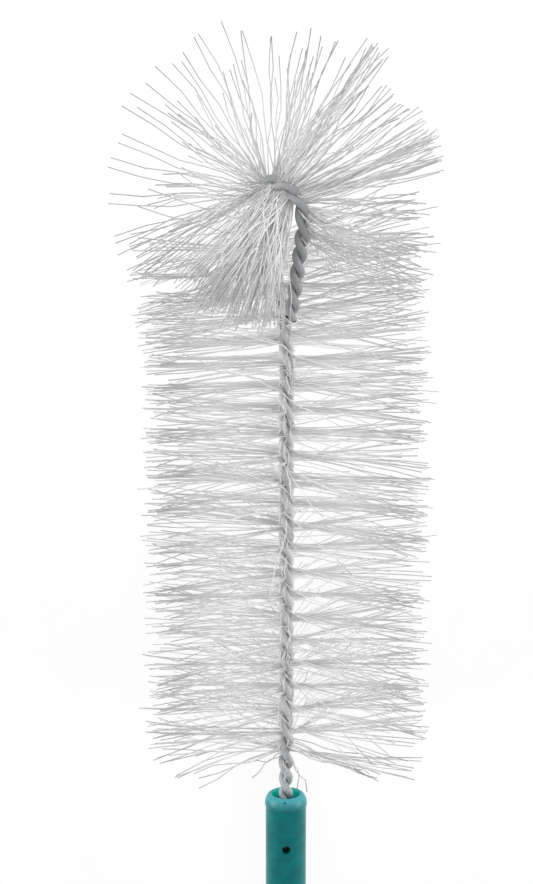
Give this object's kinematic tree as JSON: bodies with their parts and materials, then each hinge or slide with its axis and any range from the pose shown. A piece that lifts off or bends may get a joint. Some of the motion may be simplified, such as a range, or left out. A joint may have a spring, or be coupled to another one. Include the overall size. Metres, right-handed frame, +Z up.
{
  "type": "bottle brush",
  "caption": "Bottle brush: radial nylon bristles held in a twisted coated wire with a looped tip, on a straight plastic handle with a hanging hole.",
  "frame": {"origin": "on the floor, under the middle of the brush's box as it lies", "axes": "+Y along the brush from the handle to the looped tip, +Z up; the brush lies on the end of its handle and on its first bristles, so its wire rises 7.7 degrees towards the tip"},
  "size_m": [0.0764, 0.3852, 0.0977],
  "materials": {
    "handle_plastic": "satin",
    "core_steel": "satin",
    "wire_coating": "satin",
    "bristle_nylon": "satin"
  },
  "bodies": {
    "root": {"handle": "handle_plastic", "wire_core_1": "core_steel", "wire_core_2": "core_steel", "wire_coat_1": "wire_coating", "wire_coat_2": "wire_coating", "bristles_01": "bristle_nylon", "bristles_02": "bristle_nylon", "bristles_03": "bristle_nylon", "bristles_04": "bristle_nylon", "bristles_05": "bristle_nylon", "bristles_06": "bristle_nylon", "bristles_07": "bristle_nylon", "bristles_08": "bristle_nylon", "bristles_09": "bristle_nylon", "bristles_10": "bristle_nylon", "bristles_11": "bristle_nylon", "bristles_12": "bristle_nylon", "bristles_13": "bristle_nylon", "bristles_14": "bristle_nylon", "bristles_15": "bristle_nylon", "bristles_16": "bristle_nylon", "bristles_17": "bristle_nylon", "bristles_18": "bristle_nylon", "bristles_19": "bristle_nylon", "bristles_20": "bristle_nylon", "bristles_21": "bristle_nylon", "bristles_22": "bristle_nylon", "tip_bristles_1": "bristle_nylon", "tip_bristles_2": "bristle_nylon", "tip_bristles_3": "bristle_nylon", "tip_bristles_4": "bristle_nylon", "tip_bristles_5": "bristle_nylon", "tip_bristles_6": "bristle_nylon"}
  },
  "joints": []
}
